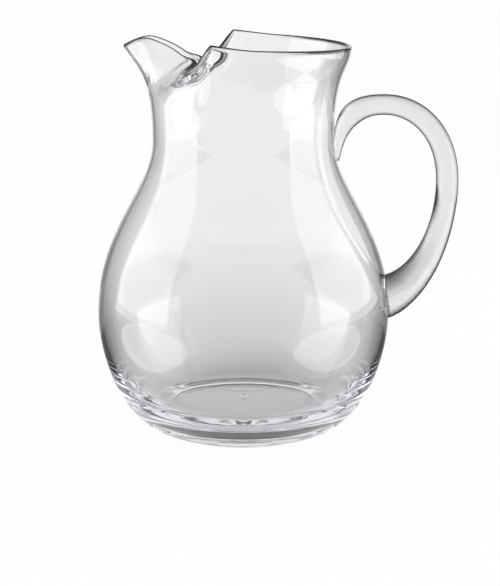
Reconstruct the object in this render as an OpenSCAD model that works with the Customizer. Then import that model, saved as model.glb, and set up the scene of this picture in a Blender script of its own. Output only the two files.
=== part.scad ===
// Round-bellied glass pitcher with a pinched ice lip and an applied rod handle.
// Millimetres, Z up. The origin is on the body's axis at table level.
// The spout points along -X and the handle along +X.

/* [Body] */
// Radius of the flat foot, up to its rounded edge
foot_r = 55.7; // [48:0.1:62]
// Rounding radius of the foot's edge
foot_round = 3; // [1:0.1:5]
// Slope of the wall where it leaves the foot, in degrees
foot_slope = 23.4; // [14:0.2:34]
// Outer radius at the widest place of the belly
belly_r = 87.2; // [80:0.1:96]
// Height of the widest place of the belly
belly_h = 66.5; // [58:0.1:76]
// Outer radius at the narrowest place of the neck
neck_r = 53.2; // [47:0.1:59]
// Height of the narrowest place of the neck
neck_h = 171.8; // [160:0.1:182]
// Outer radius of the rim on the handle's side
rim_r = 62.8; // [57:0.1:69]
// Height of the rim on the handle's side
rim_h = 225; // [214:0.1:240]
// Outward lean of the wall at the rim, in degrees
rim_lean = 5.3; // [0:0.1:15]

/* [Body curve] */
// Pull of the outer curve where it leaves the foot
foot_pull = 20.7; // [15:0.1:25]
// Pull of the outer curve below the belly's widest place
belly_low_pull = 22.8; // [18:0.1:28]
// Pull of the wall's curves above the belly's widest place
belly_high_pull = 52; // [42:0.1:58]
// Pull of the wall's curves below the neck
neck_low_pull = 30.5; // [24:0.1:36]
// Pull of the wall's curves above the neck
neck_high_pull = 38.8; // [30:0.1:42]
// Pull of the wall's curves below the rim
rim_pull = 12.6; // [8:0.1:16]

/* [Glass thickness] */
// Thickness of the wall at the neck and in the spout
neck_wall = 2; // [1.5:0.1:3]
// Thickness of the wall at the belly
belly_wall = 2.8; // [2:0.1:4]
// Thickness of the fire-polished rim
rim_edge = 2.4; // [1.8:0.1:3]
// Thickness of the rim where it is folded in behind the spout
fold_edge = 4.6; // [2.4:0.1:5]
// Height of the inside floor above the table
floor_h = 9.5; // [7:0.1:13]
// Radius of the flat part of the inside floor
floor_r = 48; // [40:0.1:52]
// Slope of the inner wall where it leaves the floor, in degrees
floor_slope = 10; // [0:0.5:25]
// Pull of the inner curve where it leaves the floor
floor_pull = 26; // [18:0.1:29]
// Pull of the inner curve below the belly's widest place
inner_low_pull = 25; // [18:0.1:28]
// Radius of the hollow under the foot
kick_r = 47; // [38:0.1:50]
// Depth of the hollow under the foot
kick_depth = 2.6; // [1:0.1:4]

/* [Spout and ice lip] */
// Height where the spout and the folds begin to leave the round neck
collar_h = 190; // [187:0.1:196]
// Pull of the wall's curves from the neck towards the spout and the folds
spout_pull = 16.5; // [12:0.1:20]
// Pull of the wall's curves under the spout's edge
spout_lip = 8.5; // [6:0.1:11]
// Pull of the wall's curves under the folded edge
fold_lip = 6.5; // [4:0.1:9]
// Reach of the spout's tip from the body's axis
lip_reach = 70.4; // [65:0.1:75]
// Height of the spout's tip above the rim
lip_rise = -0.2; // [-3:0.1:3]
// Outward lean of the spout's tip, in degrees
lip_lean = 36; // [20:1:45]
// Angle from the tip to the crest of the spout's edge, in degrees
crest_angle = 9.2; // [7:0.1:11]
// Distance of the spout's crest from the body's axis
crest_r = 56; // [52:0.1:61]
// Height of the spout's crest above the rim
crest_rise = 5; // [2:0.1:7]
// Outward lean of the wall at the spout's crest, in degrees
crest_lean = 6; // [0:1:20]
// Angle from the tip to the spout's throat, in degrees
throat_angle = 13.6; // [12.5:0.1:15.5]
// Distance of the spout's throat from the body's axis
throat_r = 42.4; // [39:0.1:47]
// Height of the spout's throat above the rim
throat_rise = 0.2; // [-2:0.1:2]
// Inward lean of the wall at the spout's throat, in degrees
throat_lean = 30; // [15:1:40]
// Angle from the tip to the spout's channel, in degrees
channel_angle = 18.6; // [17:0.1:21]
// Distance of the spout's channel from the body's axis
channel_r = 34.6; // [32:0.1:38]
// Drop of the channel's edge below the rim
channel_drop = 4.8; // [3:0.1:6]
// Inward lean of the wall at the channel's edge, in degrees
channel_lean = 45; // [30:1:52]
// Angle from the tip to where the two sides of the ice lip come closest, in degrees
gullet_angle = 25.5; // [23:0.5:29]
// Distance of that place from the body's axis
gullet_r = 29.4; // [27:0.1:33]
// Drop of that place below the rim
gullet_drop = 6.4; // [5:0.1:9]
// Inward lean of the wall at that place, in degrees
gullet_lean = 52; // [35:1:58]
// Angle from the tip to the deepest place of the pinch, in degrees
pinch_angle = 50; // [44:0.5:55]
// Distance of the pinch from the body's axis
pinch_r = 47.6; // [44:0.1:51]
// Drop of the pinch below the rim
pinch_drop = 10.6; // [8:0.1:13]
// Inward lean of the wall at the pinch, in degrees
pinch_lean = 30; // [15:1:42]
// Angle from the tip to the middle of each fold, in degrees
fold_angle = 66; // [60:0.5:70]
// Distance of the fold's middle from the body's axis
fold_r = 54; // [50:0.1:57]
// Drop of the fold's middle below the rim
fold_drop = 5.6; // [3:0.1:8]
// Inward lean of the wall at the fold's middle, in degrees
fold_lean = 16; // [5:1:30]
// Angle from the tip to the horn where each fold ends, in degrees
horn_angle = 78; // [73:0.5:84]
// Distance of the horns from the body's axis
horn_r = 61.8; // [57:0.1:65]
// Height of the horns above the rim
horn_rise = 4.9; // [2:0.1:7]
// Angle from the tip to where the rim levels out, in degrees
level_angle = 104; // [96:1:125]
// Height of the rim above its handle side where it levels out
level_rise = 2; // [0:0.1:3]
// Height by which the rim's far side stands above its near side
rim_tilt = 2; // [0:0.1:4]

/* [Handle] */
// Height of the tip of the handle's tail on the neck
tail_h = 158.5; // [152:0.1:164]
// Thickness of the tail at its tip
tail_d = 5; // [3:0.1:7]
// Outward lean of the handle's line at its tail, in degrees
tail_lean = 6; // [0:0.5:12]
// Pull of the handle's line up along the neck
tail_pull = 25; // [20:0.1:29]
// Thickness of the rod where it bends away from the neck
bend_d = 13.2; // [10:0.1:16]
// Distance of the handle's top from the body's axis
top_x = 82.5; // [76:0.1:90]
// Height of the rod's centre at the handle's top
top_h = 192; // [185:0.1:205]
// Pull of the handle's line on either side of its top
top_pull = 19.5; // [16:0.1:24]
// Thickness of the rod at the handle's top
top_d = 12; // [9:0.1:15]
// Distance of the rod's centre from the body's axis at the grip
grip_x = 119.3; // [108:0.1:132]
// Height of the grip's outermost place
grip_h = 147; // [135:0.1:158]
// Pull of the handle's line on either side of the grip
grip_pull = 28; // [20:0.1:34]
// Thickness of the rod at the grip
grip_d = 13.2; // [10:0.1:17]
// Height of the lower joint's middle on the belly
pad_h = 78.7; // [72:0.1:88]
// Slope at which the handle runs into the belly, in degrees
pad_slope = 25; // [15:1:35]
// Pull of the handle's line where it runs into the belly
pad_pull = 23.5; // [16:0.1:28]
// Thickness of the handle at the lower joint
pad_d = 26; // [20:0.1:30]
// Width of the rod across the handle, as a share of its thickness
rod_ratio = 1.1; // [0.9:0.05:1.4]

/* [Smoothness] */
// Points along each curve of the body's outline
curve_steps = 14; // [8:1:20]
// Columns of the collar between the spout's tip and each horn
spout_columns = 46; // [30:1:50]
// Columns of the collar between each horn and the handle
plain_columns = 14; // [8:1:18]
// Rows of the collar between the neck and the rim
collar_rows = 12; // [8:1:14]
// Rings along each curve of the handle
handle_rings = 14; // [8:1:20]
// Sides of the handle's section
handle_sides = 20; // [12:2:28]

/* [Hidden] */
$fn = 96;

// Steps across the rounded edge of the rim
edge_steps = 5;
// Steps of the foot's rounded edge
foot_steps = 4;
// Steps of the hollow under the foot
kick_steps = 6;
// Steps of the neck's outline up to the collar
neck_steps = 4;
// Power by which the collar's columns crowd towards the spout's tip
column_crowd = 1.3;
// Share of the collar's height over which the rim thickens
edge_share = 0.6;
// How far the collar's ring stays inside the neck's ring where they meet
seam_inset = 0.02;
// Rows of the collar in which its wall turns from level to square with the outline
seam_rows = 3;
// Share of the tail's thickness by which its line starts inside the neck
tail_sink = 0.25;
// Place of the bend on the handle's first curve
bend_t = 0.6;
// Power by which the handle flares towards the lower joint
pad_flare = 2.4;
// How far the handle's line runs on inside the belly, as a share of the joint's height
pad_bite = 0.6;

function mix(a, b, t) = a + (b - a) * t;
function smooth(t) = let (c = min(max(t, 0), 1)) c * c * (3 - 2 * c);
function unit(v) = v / norm(v);
function lean_dir(angle) = [sin(angle), cos(angle)];

// Point of a cubic curve with the control points p
function cubic(p, t) =
    let (s = 1 - t)
    s * s * s * p[0] + 3 * s * s * t * p[1] + 3 * s * t * t * p[2] + t * t * t * p[3];

// Direction of a cubic curve
function cubic_dir(p, t) =
    let (s = 1 - t)
    unit(s * s * (p[1] - p[0]) + 2 * s * t * (p[2] - p[1]) + t * t * (p[3] - p[2]));

// Control points of the stretch of a cubic curve after t
function cubic_after(p, t) =
    let (c = mix(p[2], p[3], t), b = mix(mix(p[1], p[2], t), c, t))
    [cubic(p, t), b, c, p[3]];

// Place on a rising cubic curve that has the height h
function place_at(p, h, lo = 0, hi = 1, n = 30) =
    let (m = (lo + hi) / 2)
    n == 0 ? m : cubic(p, m)[1] < h ? place_at(p, h, m, hi, n - 1) : place_at(p, h, lo, m, n - 1);

// Outer curves of the body as [radius, height]
foot_end = [foot_r + foot_round * sin(foot_slope), foot_round * (1 - cos(foot_slope))];
foot_dir = [cos(foot_slope), sin(foot_slope)];
belly_at = [belly_r, belly_h];
neck_at = [neck_r, neck_h];
rim_at = [rim_r, rim_h];
up = [0, 1];
lower_curve = [foot_end, foot_end + foot_pull * foot_dir, belly_at - belly_low_pull * up, belly_at];
upper_curve = [belly_at, belly_at + belly_high_pull * up, neck_at - neck_low_pull * up, neck_at];
rim_curve = [neck_at, neck_at + neck_high_pull * up, rim_at - rim_pull * lean_dir(rim_lean), rim_at];

// Inner curves of the body
floor_at = [floor_r, floor_h];
inner_belly = belly_at - [belly_wall, 0];
inner_neck = neck_at - [neck_wall, 0];
floor_dir = [cos(floor_slope), sin(floor_slope)];
inner_lower = [floor_at, floor_at + floor_pull * floor_dir, inner_belly - inner_low_pull * up, inner_belly];
inner_upper = [inner_belly, inner_belly + belly_high_pull * up, inner_neck - neck_low_pull * up, inner_neck];

// Place on the rim's curve where the collar starts
collar_t = place_at(rim_curve, collar_h);
collar_curve = cubic_after(rim_curve, collar_t);
collar_at = collar_curve[0];
collar_dir = unit(collar_curve[1] - collar_at);
neck_pull = norm(collar_curve[1] - collar_at);
rim_lip = norm(rim_at - collar_curve[2]);

function steps(p, from, to, n) = [for (i = [1:n]) cubic(p, mix(from, to, i / n))];

foot_arc = [
    for (i = [0:foot_steps])
        let (a = foot_slope * i / foot_steps)
        [foot_r + foot_round * sin(a), foot_round * (1 - cos(a))]
];
outer_line = concat(
    foot_arc,
    steps(lower_curve, 0, 1, curve_steps),
    steps(upper_curve, 0, 1, curve_steps),
    steps(rim_curve, 0, collar_t, neck_steps)
);
inner_line = concat(
    [floor_at],
    steps(inner_lower, 0, 1, curve_steps),
    steps(inner_upper, 0, 1, curve_steps),
    [for (p = steps(rim_curve, 0, collar_t, neck_steps)) p - [neck_wall, 0]]
);

// Hollow under the foot, a shallow dome with a rounded shoulder
kick_line = [
    for (i = [0:kick_steps])
        let (t = i / kick_steps)
        [kick_r * (1 - t), kick_depth * sin(90 * sqrt(t))]
];

function reversed(list) = [for (i = [len(list) - 1:-1:0]) list[i]];

// Outer radius of the body at a height, on the round part of the wall
function wall_r(h) = lookup(h, [for (p = outer_line) [p[1], p[0]]]);

// The rim from the spout's tip round to the handle: angle, distance from the axis, height above the rim,
// lean of the wall, thickness of the edge, pull under the edge, pull above the neck
fold_end_edge = (rim_edge + fold_edge) / 2;
rim_stations = [
    [0, lip_reach, lip_rise, lip_lean, rim_edge, spout_lip, spout_pull],
    [crest_angle, crest_r, crest_rise, crest_lean, rim_edge, spout_lip, spout_pull],
    [throat_angle, throat_r, throat_rise, -throat_lean, rim_edge, spout_lip, spout_pull],
    [channel_angle, channel_r, -channel_drop, -channel_lean, rim_edge, spout_lip, spout_pull],
    [gullet_angle, gullet_r, -gullet_drop, -gullet_lean, fold_end_edge, spout_lip, spout_pull],
    [pinch_angle, pinch_r, -pinch_drop, -pinch_lean, fold_edge, fold_lip, spout_pull],
    [fold_angle, fold_r, -fold_drop, -fold_lean, fold_edge, fold_lip, spout_pull],
    [horn_angle, horn_r, horn_rise, rim_lean, fold_end_edge, spout_lip, neck_pull],
    [level_angle, rim_r, level_rise, rim_lean, rim_edge, rim_lip, neck_pull],
    [180, rim_r, 0, rim_lean, rim_edge, rim_lip, neck_pull]
];

// Slope of column k of the stations between stations i and i + 1
function rise(i, k) =
    (rim_stations[i + 1][k] - rim_stations[i][k]) / (rim_stations[i + 1][0] - rim_stations[i][0]);

// Slope of column k at station i, level at every crest, dip and end, but sharp at the horn
function slope(i, k, side) =
    i == 0 || i == len(rim_stations) - 1 ? 0 :
    let (a = rise(i - 1, k), b = rise(i, k))
    rim_stations[i][0] == horn_angle ? (side < 0 ? a : b) :
    a * b <= 0 ? 0 : 2 * a * b / (a + b);

function station_at(angle, i = 0) =
    i + 2 >= len(rim_stations) || angle <= rim_stations[i + 1][0] ? i : station_at(angle, i + 1);

// Value k of the rim at an angle from the spout's tip, on a smooth line through the stations
function rim_value(angle, k) =
    let (
        i = station_at(angle),
        w = rim_stations[i + 1][0] - rim_stations[i][0],
        t = (angle - rim_stations[i][0]) / w,
        a = rim_stations[i][k],
        b = rim_stations[i + 1][k]
    )
    mix(a, b, smooth(t)) + w * t * (1 - t) * (slope(i, k, 1) * (1 - t) - slope(i + 1, k, -1) * t);

// Angles of the collar's columns, from the tip round both sides
half_angles = concat(
    [for (i = [0:spout_columns - 1]) horn_angle * pow(i / spout_columns, column_crowd)],
    [for (i = [0:plain_columns]) mix(horn_angle, 180, i / plain_columns)]
);
angles = concat(half_angles, [for (i = [len(half_angles) - 2:-1:1]) -half_angles[i]]);

// Control points of the wall's curve at an angle
function column(angle) =
    let (
        a = abs(angle),
        dir = lean_dir(rim_value(a, 3)),
        tilt = rim_tilt / 2 * sin(angle),
        top = [rim_value(a, 1), rim_h + rim_value(a, 2) - tilt] - dir * rim_value(a, 4) / 2
    )
    [collar_at, collar_at + rim_value(a, 6) * collar_dir, top - rim_value(a, 5) * dir, top];

function around(angle, p) = [-p[0] * cos(angle), -p[0] * sin(angle), p[1]];

collar_grid = [
    for (i = [0:collar_rows])
        [for (a = angles) around(a, cubic(column(a), i / collar_rows))]
];

// Direction along the wall and out of the wall at a grid point
function climb(i, j) =
    collar_grid[min(i + 1, collar_rows)][j] - collar_grid[max(i - 1, 0)][j];
function outward(i, j) =
    let (
        n = len(angles),
        along = collar_grid[i][(j + 1) % n] - collar_grid[i][(j + n - 1) % n],
        out = cross(along, climb(i, j)),
        level = min(1, i / seam_rows)
    )
    unit([out[0], out[1], out[2] * level]);

function edge_t(i, j) =
    let (v = i / collar_rows)
    mix(neck_wall, rim_value(abs(angles[j]), 4), smooth((v - 1 + edge_share) / edge_share));

// Rows of the collar: up the outside, over the rounded edge and down the inside
function collar_row(i) =
    [
        for (j = [0:len(angles) - 1])
            i <= collar_rows ? collar_grid[i][j] - outward(i, j) * (i == 0 ? seam_inset : 0) :
            i < collar_rows + edge_steps ? edge_point(i - collar_rows, j) :
            inner_point(2 * collar_rows + edge_steps - i, j)
    ];
function edge_point(k, j) =
    let (
        half = edge_t(collar_rows, j) / 2,
        out = outward(collar_rows, j),
        rise_dir = climb(collar_rows, j),
        over = unit(rise_dir - out * (rise_dir * out)),
        a = 180 * k / edge_steps
    )
    collar_grid[collar_rows][j] + out * half * (cos(a) - 1) + over * half * sin(a);
function inner_point(i, j) =
    collar_grid[i][j] - outward(i, j) * (edge_t(i, j) - (i == 0 ? seam_inset : 0));

// Triangles of a grid that closes on itself both ways
function ring_faces(rows, n) =
    [
        for (i = [0:rows - 1])
            for (j = [0:n - 1])
                let (
                    a = i * n + j,
                    b = i * n + (j + 1) % n,
                    c = ((i + 1) % rows) * n + (j + 1) % n,
                    d = ((i + 1) % rows) * n + j
                )
                each [[a, d, c], [a, c, b]]
    ];

// Centre line of the handle, from the tail on the neck over the top to the lower joint
tail_at = [wall_r(tail_h) - tail_sink * tail_d, tail_h];
top_at = [top_x, top_h];
grip_at = [grip_x, grip_h];
pad_dir = [-cos(pad_slope), -sin(pad_slope)];
pad_at = [wall_r(pad_h), pad_h];
handle_curves = [
    [tail_at, tail_at + tail_pull * lean_dir(tail_lean), top_at - [top_pull, 0], top_at],
    [top_at, top_at + [top_pull, 0], grip_at + grip_pull * up, grip_at],
    [grip_at, grip_at - grip_pull * up, pad_at - pad_pull * pad_dir, pad_at]
];

// Thickness of the handle along each of its curves
function handle_d(k, t) =
    k == 0 && t < bend_t ? mix(tail_d, bend_d, smooth(t / bend_t)) :
    k == 0 ? mix(bend_d, top_d, smooth((t - bend_t) / (1 - bend_t))) :
    k == 1 ? mix(top_d, grip_d, t) :
    mix(grip_d, pad_d, pow(t, pad_flare));

// Ring of the handle's section round a point of its centre line
function rod_ring(at, dir, d) =
    [
        for (k = [0:handle_sides - 1])
            let (
                a = 360 * k / handle_sides,
                in_plane = d / 2 * cos(a)
            )
            [at[0] - dir[1] * in_plane, rod_ratio * d / 2 * sin(a), at[1] + dir[0] * in_plane]
    ];

handle_rows = concat(
    [
        for (k = [0:len(handle_curves) - 1])
            for (i = [0:handle_rings - 1])
                let (t = i / handle_rings, c = handle_curves[k])
                rod_ring(cubic(c, t), cubic_dir(c, t), handle_d(k, t))
    ],
    [rod_ring(pad_at, pad_dir, pad_d), rod_ring(pad_at + pad_bite * pad_d * pad_dir, pad_dir, pad_d)]
);

function tube_faces(rows, n) =
    concat(
        [[for (j = [0:n - 1]) j]],
        [
            for (i = [0:rows - 2])
                for (j = [0:n - 1])
                    let (a = i * n + j, b = i * n + (j + 1) % n)
                    each [[a, a + n, b + n], [a, b + n, b]]
        ],
        [[for (j = [n - 1:-1:0]) (rows - 1) * n + j]]
    );

// The filled outer shape of the round part of the body
module body_form() {
    rotate_extrude()
        polygon(concat([[0, 0]], outer_line, [[0, collar_h]]));
}

// Blown body with its thick floor, up to the collar
module bowl() {
    rotate_extrude()
        polygon(concat(kick_line, [[0, floor_h]], inner_line, reversed(outer_line)));
}

// Neck's upper end with the rim, the two folds and the spout
module collar() {
    rows = 2 * (collar_rows + 1) + edge_steps - 1;
    points = [for (i = [0:rows - 1]) each collar_row(i)];
    polyhedron(points, ring_faces(rows, len(angles)));
}

// Body of one piece of glass
module vessel() {
    color("aliceblue", 0.5)
        union() {
            bowl();
            collar();
        }
}

// Drawn rod, pressed on at the neck and at the belly
module handle() {
    color("lightsteelblue", 0.7)
        difference() {
            polyhedron([for (row = handle_rows) each row], tube_faces(len(handle_rows), handle_sides));
            body_form();
        }
}

vessel();
handle();
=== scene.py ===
import functools
import math

import bmesh
import bpy
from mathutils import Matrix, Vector


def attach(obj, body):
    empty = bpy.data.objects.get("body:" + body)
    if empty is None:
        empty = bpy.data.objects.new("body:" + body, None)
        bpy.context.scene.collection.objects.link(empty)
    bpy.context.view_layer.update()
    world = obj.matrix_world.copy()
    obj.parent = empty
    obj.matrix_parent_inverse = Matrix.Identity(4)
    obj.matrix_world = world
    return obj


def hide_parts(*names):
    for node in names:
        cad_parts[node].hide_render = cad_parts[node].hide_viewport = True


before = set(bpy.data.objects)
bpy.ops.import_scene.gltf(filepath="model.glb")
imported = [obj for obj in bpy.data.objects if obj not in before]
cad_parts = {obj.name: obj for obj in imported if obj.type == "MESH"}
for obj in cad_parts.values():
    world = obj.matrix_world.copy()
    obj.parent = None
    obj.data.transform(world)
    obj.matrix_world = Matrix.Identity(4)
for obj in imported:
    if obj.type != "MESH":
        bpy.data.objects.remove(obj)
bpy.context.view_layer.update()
scene = bpy.context.scene
mm = 0.001
halvings = 40  # of a curve, when a place on it is looked for
mergeGap = 0.004  # millimetres between doubles
up = Vector((0, 1))
outwards = Vector((1, 0))
print("frame loaded:", ", ".join(sorted(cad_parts)))


# Small sums used by every piece

def mix(a, b, t):
    return a + (b - a) * t


def ease(t):
    t = min(max(t, 0), 1)
    return t * t * (3 - 2 * t)


def leanDir(angle):
    return Vector((math.sin(math.radians(angle)), math.cos(math.radians(angle))))


def cubic(p, t):
    s = 1 - t
    return s * s * s * p[0] + 3 * s * s * t * p[1] + 3 * s * t * t * p[2] + t * t * t * p[3]


def cubicDir(p, t):
    s = 1 - t
    return (s * s * (p[1] - p[0]) + 2 * s * t * (p[2] - p[1]) + t * t * (p[3] - p[2])).normalized()


def along(p, count, first=0, last=1):
    return [cubic(p, mix(first, last, (i + 1) / count)) for i in range(count)]


def placeAt(p, height):
    low, high = 0, 1
    for step in range(halvings):
        middle = (low + high) / 2
        if cubic(p, middle).y < height:
            low = middle
        else:
            high = middle
    return low


# Handwork shared by the pieces

def deselectAll():
    if bpy.context.object and bpy.context.object.mode != "OBJECT":
        bpy.ops.object.mode_set(mode="OBJECT")
    bpy.ops.object.select_all(action="DESELECT")


def pick(piece):
    deselectAll()
    bpy.context.view_layer.objects.active = piece
    piece.select_set(True)


def drawProfile(name, points):
    # a small plane is merged to one vertex, which is extruded from point to point
    deselectAll()
    bpy.ops.mesh.primitive_plane_add(size=mm, location=(0, 0, 0))
    piece = bpy.context.object
    piece.name = name
    bpy.ops.object.mode_set(mode="EDIT")
    bpy.ops.mesh.select_mode(type="VERT")
    bpy.ops.mesh.select_all(action="SELECT")
    bpy.ops.mesh.merge(type="CENTER")
    bpy.ops.transform.translate(value=(points[0].x * mm, 0, points[0].y * mm))
    for start, end in zip(points, points[1:]):
        step = ((end.x - start.x) * mm, 0, (end.y - start.y) * mm)
        bpy.ops.mesh.extrude_region_move(TRANSFORM_OT_translate={"value": step})
    return piece


def spinProfile(columns):
    bpy.ops.mesh.select_all(action="SELECT")
    bpy.ops.mesh.spin(steps=columns, angle=2 * math.pi, center=(0, 0, 0), axis=(0, 0, 1))
    bpy.ops.mesh.select_all(action="SELECT")
    bpy.ops.mesh.remove_doubles(threshold=mergeGap * mm)
    bpy.ops.mesh.normals_make_consistent(inside=False)


# Shader sums as Python expressions

class Wire:
    def __init__(self, tree, socket=None):
        self.tree = tree
        self.socket = socket

    def make(self, kind, settings=None, values=None, out=0):
        node = self.tree.nodes.new("ShaderNode" + kind)
        for name, value in (settings or {}).items():
            if name == "stops":
                stops = node.color_ramp.elements
                for number, (position, colour) in enumerate(value):
                    stop = stops[number] if number < 2 else stops.new(position)  # a new ramp has two
                    stop.position = position
                    stop.color = colour
            else:
                setattr(node, name, value)
        for name, value in (values or {}).items():
            if isinstance(value, Wire):
                self.tree.links.new(value.socket, node.inputs[name])
            else:
                node.inputs[name].default_value = value
        return Wire(self.tree, node.outputs[out] if node.outputs else None)

    def other(self, name):
        return Wire(self.tree, self.socket.node.outputs[name])

    def maths(self, operation, first, second):
        return self.make("Math", {"operation": operation}, {0: first, 1: second})

    def __add__(self, other):
        return self.maths("ADD", self, other)

    def __radd__(self, other):
        return self.maths("ADD", other, self)

    def __sub__(self, other):
        return self.maths("SUBTRACT", self, other)

    def __rsub__(self, other):
        return self.maths("SUBTRACT", other, self)

    def __mul__(self, other):
        return self.maths("MULTIPLY", self, other)

    def __rmul__(self, other):
        return self.maths("MULTIPLY", other, self)


def newTree(holder):
    holder.use_nodes = True
    holder.node_tree.nodes.clear()
    return Wire(holder.node_tree)


def fade(value, start, end, low=0.0, high=1.0):
    return value.make("MapRange", {"interpolation_type": "SMOOTHSTEP"}, {
        "Value": value, "From Min": start, "From Max": end, "To Min": low, "To Max": high,
    })


def blend(share, first, second):
    # inputs 6 and 7 and output 2 of a Mix node are its colours
    return share.make("Mix", {"data_type": "RGBA"}, {0: share, 6: first, 7: second}, 2)


# Glass of the two pieces, with painted shade at their edges and along the rim

vesselLook = {
    "clear": (0.985, 0.976, 0.982, 1),
    "seedy": (0.968, 0.959, 0.968, 1),
    "ior": 1.5,
    "tint": (0.88, 0.875, 0.92, 1),
    "density": 8,  # per metre
    # painted shade: the colour the glass darkens to where it is seen edge on
    "edge": (0.1, 0.095, 0.105, 1),
    "edgeShadeStart": 0.3, "edgeShadeEnd": 0.85,  # glass seen face on is 0, edge on is 1
    "edgeShadeDepth": 0.0,  # how far the painted edge shade darkens the glass at the table
    "edgeShadeSteps": [  # how much that changes between two heights, in metres
        (0.025, 0.045, 0.768), (0.05, 0.09, -0.528), (0.195, 0.21, 0.35),
    ],
    # painted shade: a dark line along the rolled rim where it is seen edge on
    "rim": (0.004, 0.004, 0.005, 1),
    "rimShadeStart": 0.02, "rimShadeEnd": 0.24,
    "cloudScale": 22,
    "waveScale": 14,
    "waveDepth": 0.03,  # millimetres
    "haze": 0.008,
}

handleLook = {
    "clear": (0.92, 0.91, 0.918, 1),
    "seedy": (0.895, 0.885, 0.895, 1),
    "ior": 1.5,
    "tint": (0.88, 0.875, 0.92, 1),
    "density": 12,
    # painted shade: the colour the rod darkens to where it is seen edge on
    "edge": (0.004, 0.004, 0.005, 1),
    "edgeShadeStart": 0.22, "edgeShadeEnd": 0.68,
    "edgeShadeDepth": 1.0,
    "edgeShadeSteps": [],
    "cloudScale": 30,
    "waveScale": 35,
    "waveDepth": 0.02,
    "haze": 0.008,
}


def glass(name, look):
    material = bpy.data.materials.new(name)
    tree = newTree(material)
    place = tree.make("TexCoord", out="Object")
    cloud = tree.make("TexNoise", {}, {"Vector": place, "Scale": look["cloudScale"], "Detail": 2.0})
    wave = tree.make("TexNoise", {}, {"Vector": place, "Scale": look["waveScale"], "Detail": 1.0})
    tone = blend(cloud, look["clear"], look["seedy"])
    facing = tree.make("LayerWeight", {}, {"Blend": 0.5}, "Facing")
    height = tree.make("SeparateXYZ", {}, {0: place}, "Z")
    shadeDepth = look["edgeShadeDepth"]
    for start, end, change in look["edgeShadeSteps"]:
        shadeDepth = shadeDepth + fade(height, start, end, 0.0, change)
    # painted shade: the colour darkens where the glass is seen edge on, by an amount that changes with
    # height
    colour = blend(fade(facing, look["edgeShadeStart"], look["edgeShadeEnd"]) * shadeDepth, tone, look["edge"])
    # painted shade: a dark line on the rolled rim's rows
    if "rim" in look:
        rimShadeMask = tree.make("Attribute", {"attribute_name": "rim"}, {}, "Fac")
        colour = blend(fade(facing, look["rimShadeStart"], look["rimShadeEnd"]) * rimShadeMask, colour, look["rim"])
    bump = tree.make("Bump", {}, {"Strength": 1.0, "Distance": look["waveDepth"] * mm, "Height": wave})
    body = tree.make("BsdfPrincipled", {}, {
        "Base Color": colour,
        "Roughness": cloud * look["haze"],
        "IOR": look["ior"],
        "Transmission Weight": 1.0,
        "Normal": bump,
    })
    thick = tree.make("VolumeAbsorption", {}, {"Color": look["tint"], "Density": look["density"]})
    tree.make("OutputMaterial", {}, {"Surface": body, "Volume": thick})
    return material


# Vessel: foot, belly, neck, rim, folds and spout of one piece of glass, in millimetres

vessel = {
    "footRadius": 55.7, "footRound": 3, "footSlope": 23.4,
    "bellyRadius": 87.2, "bellyHeight": 66.5,
    "neckRadius": 53.2, "neckHeight": 171.8,
    "rimRadius": 62.8, "rimHeight": 225, "rimLean": 5.3,
    "footPull": 20.7, "bellyLowPull": 22.8, "bellyHighPull": 52,
    "neckLowPull": 30.5, "neckHighPull": 38.8, "rimPull": 12.6,
    "neckWall": 2, "bellyWall": 2.8, "rimEdge": 2.4, "foldEdge": 4.6,
    "floorHeight": 9.5, "floorRadius": 48, "floorSlope": 10, "floorPull": 26, "innerLowPull": 25,
    "rippleDepth": 0.04, "rippleWide": 6, "dimpleDepth": 0.5, "dimpleRadius": 2.5,
    "hollowRadius": 47, "hollowDepth": 2.6,
    "collarHeight": 190, "rimTilt": 2,
    "spoutPull": 16.5, "spoutLip": 8.5, "foldLip": 6.5,
    # round the rim: angle from the spout's tip, distance from the axis, height above the rim, lean
    "tip": (0, 70.4, -0.2, 36), "crest": (9.2, 56, 5, 6), "throat": (13.6, 42.4, 0.2, -30),
    "channel": (18.6, 34.6, -4.8, -45), "gullet": (25.5, 29.4, -6.4, -52),
    "pinch": (50, 47.6, -10.6, -30), "fold": (66, 54, -5.6, -16),
    "hornAngle": 78, "hornRadius": 61.8, "hornRise": 4.9,
    "levelAngle": 104, "levelRise": 2,
    "edgeShare": 0.6,  # part of the collar's height in which the wall thickens to its edge
    "uprightShare": 0.25,  # part of it in which the wall's thickness still lies level
    "footRows": 4, "lowerRows": 18, "upperRows": 22, "neckRows": 5,
    "hollowRows": 12, "floorRows": 48, "collarRows": 22, "edgeRows": 8,
    "columns": 300,
    "gather": 0.4,  # how far the columns are drawn towards the spout
    "sideStep": 0.8,  # degrees to either side at which the wall's direction is taken
    "collarGap": 0.1,  # what lies this far above the collar's start belongs to it
}
softSteps = [(-1, 0.1), (-0.5, 0.2), (0, 0.4), (0.5, 0.2), (1, 0.1)]  # degrees aside and share

footEnd = Vector((
    vessel["footRadius"] + vessel["footRound"] * math.sin(math.radians(vessel["footSlope"])),
    vessel["footRound"] * (1 - math.cos(math.radians(vessel["footSlope"]))),
))
footPull = vessel["footPull"] * leanDir(90 - vessel["footSlope"])
bellyAt = Vector((vessel["bellyRadius"], vessel["bellyHeight"]))
bellyRise = vessel["bellyHighPull"] * up
neckAt = Vector((vessel["neckRadius"], vessel["neckHeight"]))
neckDrop = vessel["neckLowPull"] * up
neckRise = vessel["neckHighPull"] * up
rimAt = Vector((vessel["rimRadius"], vessel["rimHeight"]))
rimPull = vessel["rimPull"] * leanDir(vessel["rimLean"])
lowerCurve = [footEnd, footEnd + footPull, bellyAt - vessel["bellyLowPull"] * up, bellyAt]
upperCurve = [bellyAt, bellyAt + bellyRise, neckAt - neckDrop, neckAt]
rimCurve = [neckAt, neckAt + neckRise, rimAt - rimPull, rimAt]

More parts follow.
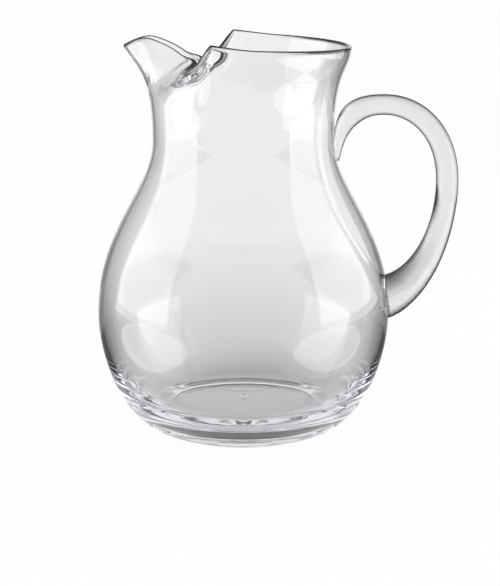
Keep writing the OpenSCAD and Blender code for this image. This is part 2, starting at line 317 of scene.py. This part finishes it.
innerBelly = bellyAt - vessel["bellyWall"] * outwards
innerNeck = neckAt - vessel["neckWall"] * outwards
floorAt = Vector((vessel["floorRadius"], vessel["floorHeight"]))
floorPull = vessel["floorPull"] * leanDir(90 - vessel["floorSlope"])
innerLower = [floorAt, floorAt + floorPull, innerBelly - vessel["innerLowPull"] * up, innerBelly]
innerUpper = [innerBelly, innerBelly + bellyRise, innerNeck - neckDrop, innerNeck]

collarT = placeAt(rimCurve, vessel["collarHeight"])
collarAt = cubic(rimCurve, collarT)
lipControl = mix(rimCurve[2], rimCurve[3], collarT)
collarPull = mix(mix(rimCurve[1], rimCurve[2], collarT), lipControl, collarT) - collarAt
collarDir = collarPull.normalized()
neckPull = collarPull.length
rimLip = (rimAt - lipControl).length
spoutPull, spoutLip, foldLip = vessel["spoutPull"], vessel["spoutLip"], vessel["foldLip"]
rimEdge, foldEdge = vessel["rimEdge"], vessel["foldEdge"]
foldEnd = (rimEdge + foldEdge) / 2
rimRadius, rimLean = vessel["rimRadius"], vessel["rimLean"]

# each place's four values, edge thickness, pull under the edge and pull above the neck
rimStations = [
    (*vessel["tip"], rimEdge, spoutLip, spoutPull),
    (*vessel["crest"], rimEdge, spoutLip, spoutPull),
    (*vessel["throat"], rimEdge, spoutLip, spoutPull),
    (*vessel["channel"], rimEdge, spoutLip, spoutPull),
    (*vessel["gullet"], foldEnd, spoutLip, spoutPull),
    (*vessel["pinch"], foldEdge, foldLip, spoutPull),
    (*vessel["fold"], foldEdge, foldLip, spoutPull),
    (vessel["hornAngle"], vessel["hornRadius"], vessel["hornRise"], rimLean, foldEnd, spoutLip, neckPull),
    (vessel["levelAngle"], rimRadius, vessel["levelRise"], rimLean, rimEdge, rimLip, neckPull),
    (180, rimRadius, 0, rimLean, rimEdge, rimLip, neckPull),
]
hornStation = 7  # the rim's one corner
angleField, reachField, riseField, leanField, edgeField, lipField, pullField = range(7)


def climbRate(i, field):
    here, after = rimStations[i], rimStations[i + 1]
    return (after[field] - here[field]) / (after[angleField] - here[angleField])


def slope(i, field, side):
    if i == 0 or i == len(rimStations) - 1:
        return 0
    before, after = climbRate(i - 1, field), climbRate(i, field)
    if i == hornStation:
        return before if side < 0 else after
    return 0 if before * after <= 0 else 2 * before * after / (before + after)


def rimValue(angle, field):
    i = 0
    while i + 2 < len(rimStations) and angle > rimStations[i + 1][angleField]:
        i += 1
    here, after = rimStations[i], rimStations[i + 1]
    width = after[angleField] - here[angleField]
    t = (angle - here[angleField]) / width
    bend = slope(i, field, 1) * (1 - t) - slope(i + 1, field, -1) * t
    return mix(here[field], after[field], ease(t)) + width * t * (1 - t) * bend


def softValue(angle, field):
    # the rim's values, eased over a few degrees so that no crease shows
    total = 0
    for step, share in softSteps:
        turned = abs(angle + step)
        total += share * rimValue(360 - turned if turned > 180 else turned, field)
    return total


@functools.lru_cache(None)
def column(angle):
    size = abs(angle)
    lean = leanDir(softValue(size, leanField))
    tilt = vessel["rimTilt"] / 2 * math.sin(math.radians(angle))
    top = Vector((softValue(size, reachField), vessel["rimHeight"] + softValue(size, riseField) - tilt))
    top -= lean * softValue(size, edgeField) / 2
    low = collarAt + softValue(size, pullField) * collarDir
    return [collarAt, low, top - softValue(size, lipField) * lean, top]


def around(angle, point):
    turn = math.radians(angle)
    return Vector((-point.x * math.cos(turn), -point.x * math.sin(turn), point.y))


def edgeThickness(angle, t):
    share = vessel["edgeShare"]
    return mix(vessel["neckWall"], softValue(abs(angle), edgeField), ease((t - 1 + share) / share))


def collarFrame(angle, t):
    # point on the outer face, direction out of the glass and direction up the wall
    left, right = angle - vessel["sideStep"], angle + vessel["sideStep"]
    here = column(angle)
    point = around(angle, cubic(here, t))
    sideways = around(right, cubic(column(right), t)) - around(left, cubic(column(left), t))
    climb = around(angle, cubic(here, t) + cubicDir(here, t)) - point
    out = sideways.cross(climb)
    out.z *= min(1, t / vessel["uprightShare"])
    out.normalize()
    climb -= out * climb.dot(out)
    return point, out, climb.normalized()


def collarPoint(angle, row):
    rows, edges = vessel["collarRows"], vessel["edgeRows"]
    if row <= rows:
        return collarFrame(angle, row / rows)[0]
    if row < rows + edges:
        point, out, climb = collarFrame(angle, 1)
        half = edgeThickness(angle, 1) / 2
        turn = math.pi * (row - rows) / edges
        return point + out * half * (math.cos(turn) - 1) + climb * half * math.sin(turn)
    t = (2 * rows + edges - row) / rows
    point, out, climb = collarFrame(angle, t)
    return point - out * edgeThickness(angle, t)


def neckLine():
    return along(rimCurve, vessel["neckRows"], 0, collarT)


def outerLine():
    foot = []
    for i in range(vessel["footRows"] + 1):
        turn = math.radians(vessel["footSlope"] * i / vessel["footRows"])
        foot.append(Vector((vessel["footRadius"] + vessel["footRound"] * math.sin(turn),
                            vessel["footRound"] * (1 - math.cos(turn)))))
    belly = along(lowerCurve, vessel["lowerRows"]) + along(upperCurve, vessel["upperRows"])
    return foot + belly + neckLine()


def innerLine():
    neck = [point - vessel["neckWall"] * outwards for point in neckLine()]
    return along(innerLower, vessel["lowerRows"]) + along(innerUpper, vessel["upperRows"]) + neck


def hollowLine():
    line = []
    for i in range(vessel["hollowRows"], -1, -1):
        t = i / vessel["hollowRows"]
        line.append(Vector((vessel["hollowRadius"] * (1 - t),
                            vessel["hollowDepth"] * math.sin(math.pi / 2 * math.sqrt(t)))))
    return line


def floorLine():
    line = []
    for i in range(vessel["floorRows"], -1, -1):
        radius = vessel["floorRadius"] * i / vessel["floorRows"]
        fading = 1 - radius / vessel["floorRadius"]
        ripple = fading * vessel["rippleDepth"] * math.cos(2 * math.pi * radius / vessel["rippleWide"])
        dimple = vessel["dimpleDepth"] * math.exp(-(radius / vessel["dimpleRadius"]) ** 2)
        line.append(Vector((radius, vessel["floorHeight"] + ripple - dimple)))
    return line


def makeVessel():
    # a round body is spun, then the collar's vertices move to the spout, the folds and the rim
    rows, edges = vessel["collarRows"], vessel["edgeRows"]
    plain = []
    for row in range(1, 2 * rows + edges):
        point = collarPoint(180, row)
        plain.append(Vector((point.x, point.z)))
    profile = hollowLine() + outerLine() + plain + list(reversed(innerLine())) + floorLine()
    piece = drawProfile("vessel_glass", profile)
    spinProfile(vessel["columns"])
    wall = bmesh.from_edit_mesh(piece.data)
    # marks the rolled rim's rows, which get a painted dark line
    rimShadeMask = wall.verts.layers.float.new("rim")
    for vertex in wall.verts:
        angle = math.atan2(-vertex.co.y, -vertex.co.x)
        angle -= vessel["gather"] * math.sin(angle)
        degrees = math.degrees(angle)
        spot = Vector((math.hypot(vertex.co.x, vertex.co.y) / mm, vertex.co.z / mm))
        if spot.y > vessel["collarHeight"] + vessel["collarGap"]:
            row = min(range(len(plain)), key=lambda i: (plain[i] - spot).length_squared) + 1
            vertex.co = collarPoint(degrees, row) * mm
            vertex[rimShadeMask] = 1 if rows <= row <= rows + edges else 0
        else:
            vertex.co = around(degrees, spot) * mm
    bmesh.update_edit_mesh(piece.data)
    bpy.ops.mesh.select_all(action="SELECT")
    bpy.ops.mesh.normals_make_consistent(inside=False)
    pick(piece)
    bpy.ops.object.shade_smooth()
    piece.data.materials.append(glass("vessel glass", vesselLook))
    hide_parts("vessel")
    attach(piece, "root")
    print("vessel:", len(piece.data.polygons), "faces")


# Handle: a drawn rod from its thin tail on the neck over the top to the joint on the belly

handle = {
    "tailHeight": 158.5, "tailThick": 5, "tailLean": 6, "tailPull": 25,
    "tailSink": 0.25,  # part of the tail's thickness that lies behind the neck's face
    "bendThick": 13.2, "bendPlace": 0.6,
    "topReach": 82.5, "topHeight": 192, "topPull": 19.5, "topThick": 12,
    "gripReach": 119.3, "gripHeight": 147, "gripPull": 28, "gripThick": 13.2,
    "jointHeight": 78.7, "jointSlope": 25, "jointPull": 23.5, "jointThick": 26, "jointFlare": 2.4,
    "widthRatio": 1.1,
    "weld": 0.8,  # how deep the rod runs into the wall that it is fused to
    "runOn": 0.6,  # length past the joint before the seat is cut, in thicknesses
    "rings": 18, "sides": 28, "smoothing": 1,
    "seatColumns": 120, "crease": 40,
}


def wallRadius(height):
    line = outerLine()
    for low, high in zip(line, line[1:]):
        if low.y <= height <= high.y:
            return mix(low.x, high.x, (height - low.y) / (high.y - low.y))
    return line[-1].x


def handleThick(curve, t):
    bend = handle["bendPlace"]
    if curve == 0 and t < bend:
        return mix(handle["tailThick"], handle["bendThick"], ease(t / bend))
    if curve == 0:
        return mix(handle["bendThick"], handle["topThick"], ease((t - bend) / (1 - bend)))
    if curve == 1:
        return mix(handle["topThick"], handle["gripThick"], t)
    return mix(handle["gripThick"], handle["jointThick"], t ** handle["jointFlare"])


def handleStops():
    # place, direction and thickness of the rod at each of its rings
    sink = handle["tailSink"] * handle["tailThick"]
    tail = Vector((wallRadius(handle["tailHeight"]) - sink, handle["tailHeight"]))
    top = Vector((handle["topReach"], handle["topHeight"]))
    grip = Vector((handle["gripReach"], handle["gripHeight"]))
    joint = Vector((wallRadius(handle["jointHeight"]), handle["jointHeight"]))
    inwards = -leanDir(90 - handle["jointSlope"])
    tailPull = handle["tailPull"] * leanDir(handle["tailLean"])
    topPull = handle["topPull"] * outwards
    gripPull = handle["gripPull"] * up
    curves = [
        [tail, tail + tailPull, top - topPull, top],
        [top, top + topPull, grip + gripPull, grip],
        [grip, grip - gripPull, joint - handle["jointPull"] * inwards, joint],
    ]
    stops = []
    for k, curve in enumerate(curves):
        for i in range(handle["rings"]):
            t = i / handle["rings"]
            stops.append((cubic(curve, t), cubicDir(curve, t), handleThick(k, t)))
    stops.append((joint, inwards, handle["jointThick"]))
    stops.append((joint + handle["runOn"] * handle["jointThick"] * inwards, inwards, handle["jointThick"]))
    return stops


def ringPoint(stop, turn):
    place, direction, thick = stop
    across = thick / 2 * math.cos(turn)
    return Vector((
        place.x - direction.y * across,
        handle["widthRatio"] * thick / 2 * math.sin(turn),
        place.y + direction.x * across,
    )) * mm


def makeCutter():
    # the body's outer form, smaller by the weld
    line = outerLine()
    inset = []
    for before, point, after in zip([line[0]] + line, line, line[1:] + [line[-1]]):
        edge = (after - before).normalized()
        inset.append(point - handle["weld"] * Vector((edge.y, -edge.x)))
    profile = [Vector((0, inset[0].y))] + inset + [Vector((0, inset[-1].y))]
    cutter = drawProfile("cutter", profile)
    spinProfile(handle["seatColumns"])
    return cutter


def makeHandle():
    stops = handleStops()
    sides = handle["sides"]
    deselectAll()
    bpy.ops.mesh.primitive_circle_add(vertices=sides, radius=mm, fill_type="NGON")
    piece = bpy.context.object
    piece.name = "handle_glass"
    bpy.ops.object.mode_set(mode="EDIT")
    bpy.ops.mesh.select_mode(type="FACE")
    bpy.ops.mesh.select_all(action="SELECT")
    for number, stop in enumerate(stops):
        if number:
            bpy.ops.mesh.extrude_region_move(TRANSFORM_OT_translate={"value": (0, 0, 0)})
        rod = bmesh.from_edit_mesh(piece.data)
        end = next(face for face in rod.faces if face.select)
        for k, vertex in enumerate(end.verts):
            vertex.co = ringPoint(stop, 2 * math.pi * k / sides)
        bmesh.update_edit_mesh(piece.data)
    bpy.ops.mesh.select_all(action="SELECT")
    bpy.ops.mesh.normals_make_consistent(inside=False)
    cutter = makeCutter()
    pick(piece)
    smooth = piece.modifiers.new("smooth", "SUBSURF")
    smooth.levels = handle["smoothing"]
    smooth.render_levels = handle["smoothing"]
    bpy.ops.object.modifier_apply(modifier=smooth.name)
    bpy.ops.object.shade_smooth()
    seat = piece.modifiers.new("seat", "BOOLEAN")
    seat.operation = "DIFFERENCE"
    seat.solver = "EXACT"
    seat.object = cutter
    bpy.ops.object.modifier_apply(modifier=seat.name)
    bpy.data.objects.remove(cutter)
    bpy.ops.object.shade_smooth_by_angle(angle=math.radians(handle["crease"]))
    piece.data.materials.append(glass("handle glass", handleLook))
    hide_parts("handle")
    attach(piece, "root")
    print("handle:", len(piece.data.polygons), "faces")


makeVessel()
makeHandle()


# Stage: pale floor, white sky, soft boxes on either side, dark sheets of painted shade seen only through the
# glass, camera

view = {
    "azimuth": 5.5, "distance": 0.8085, "height": 0.279,
    "pitch": 13.96, "yaw": 0.28, "lens": 85.02, "sensor": 36,
}
stage = {
    "bounces": 64,  # light runs far along the inside of the thick base
    "rodDepth": 2.5,  # light through one wall or the handle alone has passed two faces
}
white = (1, 1, 1, 1)
black = (0, 0, 0, 1)
viewTurn = math.radians(view["azimuth"])

floorLook = {
    "size": 24, "cells": 8,
    "drop": 0.4,  # millimetres under the foot
    "colour": (0.92, 0.92, 0.92, 1),
    "lift": 0.97,  # share of even white, the rest takes the shadow
    "tones": [  # metres from the axis and tone, as seen through the glass: painted shade, darker near the object
        (0.08, (0.49, 0.485, 0.49, 1)), (0.125, (0.66, 0.655, 0.655, 1)),
        (0.3, (0.775, 0.77, 0.77, 1)), (0.55, (0.94, 0.935, 0.935, 1)),
    ],
    "stretch": (1.6, 1, 1),  # these tones reach less far to the sides
    "innerShadowTones": [(0.055, (0.12, 0.12, 0.13, 1)), (0.075, (0.9, 0.9, 0.9, 1))],  # painted shadow under the base, seen after a reflection inside
    "mirrorNear": 0.09, "mirrorFar": 0.125,  # the glass mirrors the floor only this near, in metres
}


def makeFloor():
    deselectAll()
    bpy.ops.mesh.primitive_grid_add(
        x_subdivisions=floorLook["cells"], y_subdivisions=floorLook["cells"],
        size=floorLook["size"], location=(0, 0, -floorLook["drop"] * mm),
    )
    floor = bpy.context.object
    floor.name = "floor"
    material = bpy.data.materials.new("floor")
    tree = newTree(material)
    path = tree.make("LightPath", out="Is Camera Ray")
    through = path.other("Is Transmission Ray")
    mirrored = path.other("Is Glossy Ray") * (1 - through)
    inside = tree.maths("MINIMUM", path.other("Glossy Depth"), 1) * through
    shallow = inside * tree.maths("LESS_THAN", path.other("Transmission Depth"), stage["rodDepth"])
    place = tree.make("TexCoord", out="Object")
    away = tree.make("VectorMath", {"operation": "LENGTH"}, {0: place}, "Value")
    wide = tree.make("VectorMath", {"operation": "MULTIPLY"}, {0: place, 1: floorLook["stretch"]}, "Vector")
    aside = tree.make("VectorMath", {"operation": "LENGTH"}, {0: wide}, "Value")
    # painted shade on the floor, seen only through the glass: darker near the object, with a painted shadow
    # under the base after a reflection inside
    tones = tree.make("ValToRGB", {"stops": floorLook["tones"]}, {0: aside})
    innerShadowTones = tree.make("ValToRGB", {"stops": floorLook["innerShadowTones"]}, {0: away})
    whiteWithPaintedShade = blend(shallow, blend(through - inside, white, tones), innerShadowTones)
    matt = tree.make("BsdfDiffuse", {}, {"Color": floorLook["colour"]})
    even = tree.make("Emission", {}, {"Color": whiteWithPaintedShade, "Strength": 1.0})
    seen = tree.maths("MINIMUM", path + through + mirrored, 1)
    both = tree.make("MixShader", {}, {0: seen * floorLook["lift"], 1: matt, 2: even})
    far = tree.make("MapRange", {}, {
        "Value": away, "From Min": floorLook["mirrorNear"], "From Max": floorLook["mirrorFar"],
    })
    gap = tree.make("BsdfTransparent", {}, {"Color": white})
    whole = tree.make("MixShader", {}, {0: mirrored * far, 1: both, 2: gap})
    tree.make("OutputMaterial", {}, {"Surface": whole})
    floor.data.materials.append(material)


skyLook = {
    "tones": [  # from level, 0, to straight up, 1
        (0.1, (0.95, 0.95, 0.95, 1)), (0.62, (0.9, 0.9, 0.9, 1)), (0.78, (0.25, 0.25, 0.25, 1)),
    ],
    "roomTone": 0.15,  # share of the sky that shows in reflections
    "backdropWide": 30, "backdropFull": 14,  # degrees about the view in which they show all of it
}


def makeSky():
    world = bpy.data.worlds.new("studio")
    scene.world = world
    tree = newTree(world)
    path = tree.make("LightPath", out="Is Camera Ray")
    mirrored = path.other("Is Glossy Ray") * (1 - path.other("Is Transmission Ray"))
    place = tree.make("TexCoord", out="Generated")
    height = tree.make("SeparateXYZ", {}, {0: place}, "Z")
    tones = tree.make("ValToRGB", {"stops": skyLook["tones"]}, {0: height})
    forward = (-math.sin(viewTurn), math.cos(viewTurn), 0)
    ahead = tree.make("VectorMath", {"operation": "DOT_PRODUCT"}, {0: place, 1: forward}, "Value")
    wide = math.cos(math.radians(skyLook["backdropWide"]))
    full = math.cos(math.radians(skyLook["backdropFull"]))
    level = 1 - mirrored * fade(ahead, wide, full, 1.0, 0.0) * (1 - skyLook["roomTone"])
    colour = blend(path, blend(level, black, tones), white)
    light = tree.make("Background", {}, {"Color": colour, "Strength": 1.0})
    tree.make("OutputWorld", {}, {"Surface": light})


boxes = {
    "distance": 0.75, "step": 0.003,  # one lamp stands behind the other, so that they add up
    "sides": [  # name, angle left of the camera's side and width, then the same for the foot
        ("left", 85, 0.78, 74, 0.95),
        ("right", -94, 1.09, -68, 0.95),
    ],
    "layers": [  # name, bottom, top, brightness
        ("box", -0.03, 1.3, 1.0),
        ("box, middle", -0.03, 0.43, 0.4),
        ("box, belly", -0.03, 0.36, 0.3),
    ],
    "foot": ("box, foot", -0.4, -0.02, 2.0),  # an oval below table level, for the glass alone
}


def makeLamp(name, angle, width, bottom, top, bright, shape, distance):
    turn = viewTurn - math.radians(angle)
    place = Vector((math.sin(turn), -math.cos(turn), 0)) * distance
    place.z = (bottom + top) / 2
    deselectAll()
    bpy.ops.object.light_add(type="AREA", location=place)
    lamp = bpy.context.object
    lamp.name = name
    lamp.rotation_euler = (math.radians(90), 0, turn)
    lamp.data.shape = shape
    lamp.data.size = width
    lamp.data.size_y = top - bottom
    area = width * (top - bottom) * (math.pi / 4 if shape == "ELLIPSE" else 1)
    lamp.data.energy = bright * math.pi * area
    lamp.visible_camera = False
    tree = newTree(lamp.data)  # seen in reflections, not straight through the glass
    path = tree.make("LightPath", out="Transmission Depth")
    reflected = tree.maths("MINIMUM", path.other("Glossy Depth"), 1)
    straight = tree.maths("MINIMUM", path, 1) * (1 - reflected)
    glow = tree.make("Emission", {}, {"Strength": 1 - straight})
    tree.make("OutputLight", {}, {"Surface": glow})


def makeBoxes():
    distance = boxes["distance"]
    for side, angle, width, footAngle, footWidth in boxes["sides"]:
        lamps = [(layer, angle, width, "RECTANGLE") for layer in boxes["layers"]]
        lamps.append((boxes["foot"], footAngle, footWidth, "ELLIPSE"))
        for (name, bottom, top, bright), lampAngle, lampWidth, shape in lamps:
            makeLamp(side + " " + name, lampAngle, lampWidth, bottom, top, bright, shape, distance)
            distance += boxes["step"]


shadeSheets = {
    "soft": 0.7,  # share of the handle's painted shadow sheets that fades out
    "sheets": [
        # name, left and right edge from the axis, front and back edge, bottom, height, tone, shown by
        # painted shade: dark cards standing beside the object, and dark sheets lying on the floor as painted
        # shadow
        ("painted shade card left", -0.418, -0.118, 0.17, 0.17, 0.1 * mm, 0.26, 0.35, "body"),
        ("painted shade card right", 0.118, 0.418, 0.17, 0.17, 0.1 * mm, 0.26, 0.35, "body"),
        ("painted shadow left", -0.418, -0.09, -0.05, 0.17, 0.1 * mm, 0, 0.08, "body"),
        ("painted shadow right", 0.09, 0.418, -0.05, 0.17, 0.1 * mm, 0, 0.08, "body"),
        ("painted shadow under the handle", -0.24, 0.48, -0.46, 0.26, 0.2 * mm, 0, 0.06, "rod"),
        ("painted shadow beside the handle", 0.22, 0.98, -0.08, 0.68, 0.3 * mm, 0, 0.06, "rod"),
    ],
}


def shadeSheetLook(name, tone, shownBy, spot, reach):
    # the body shows it after a reflection inside the glass, the rod straight through
    material = bpy.data.materials.new(name)
    tree = newTree(material)
    # painted shade: a dark glow that only the glass shows
    shadeGlow = tree.make("Emission", {}, {"Color": (tone, tone, tone, 1), "Strength": 1.0})
    air = tree.make("BsdfTransparent", {}, {"Color": white})
    path = tree.make("LightPath", out="Is Transmission Ray")
    if shownBy == "rod":
        place = tree.make("TexCoord", out="Object")
        middle = tree.make("VectorMath", {"operation": "DISTANCE"}, {0: place, 1: spot}, "Value")
        soft = fade(middle, reach * (1 - shadeSheets["soft"]), reach, 1.0, 0.0)
        meets = tree.maths("LESS_THAN", path.other("Transmission Depth"), stage["rodDepth"]) * path * soft
    else:
        meets = tree.maths("MINIMUM", path.other("Glossy Depth"), 1) * path
    both = tree.make("MixShader", {}, {0: meets, 1: air, 2: shadeGlow})
    tree.make("OutputMaterial", {}, {"Surface": both})
    return material


def makeShadeSheet(name, left, right, front, back, bottom, height, tone, shownBy):
    x, y = (left + right) / 2, (front + back) / 2
    place = (x * math.cos(viewTurn) - y * math.sin(viewTurn),
             x * math.sin(viewTurn) + y * math.cos(viewTurn), bottom + height / 2)
    lean = math.radians(90) if height else 0
    deselectAll()
    bpy.ops.mesh.primitive_plane_add(size=1, location=place, rotation=(lean, 0, viewTurn))
    sheet = bpy.context.object
    sheet.name = name
    sheet.scale = (right - left, height or back - front, 1)
    bpy.ops.object.transform_apply(location=True, rotation=True, scale=True)
    sheet.data.materials.append(shadeSheetLook(name, tone, shownBy, place, (right - left) / 2))
    sheet.visible_camera = False
    sheet.visible_diffuse = False
    sheet.visible_shadow = False


def makeShadeSheets():
    # dark sheets of painted shade that draw the edges of the glass and a painted shadow on the floor seen
    # through it, and show nowhere else
    for sheet in shadeSheets["sheets"]:
        makeShadeSheet(*sheet)


def makeCamera():
    distance = view["distance"]
    place = (distance * math.sin(viewTurn), -distance * math.cos(viewTurn), view["height"])
    bpy.ops.object.camera_add(location=place)
    camera = bpy.context.object
    camera.rotation_euler = (math.radians(90 - view["pitch"]), 0, viewTurn - math.radians(view["yaw"]))
    camera.data.lens = view["lens"]
    camera.data.sensor_width = view["sensor"]
    scene.camera = camera


makeFloor()
makeSky()
makeBoxes()
makeShadeSheets()
makeCamera()
scene.view_settings.view_transform = "Standard"
scene.cycles.max_bounces = stage["bounces"]
scene.cycles.transmission_bounces = stage["bounces"]
scene.cycles.glossy_bounces = stage["bounces"]
print("stage set")
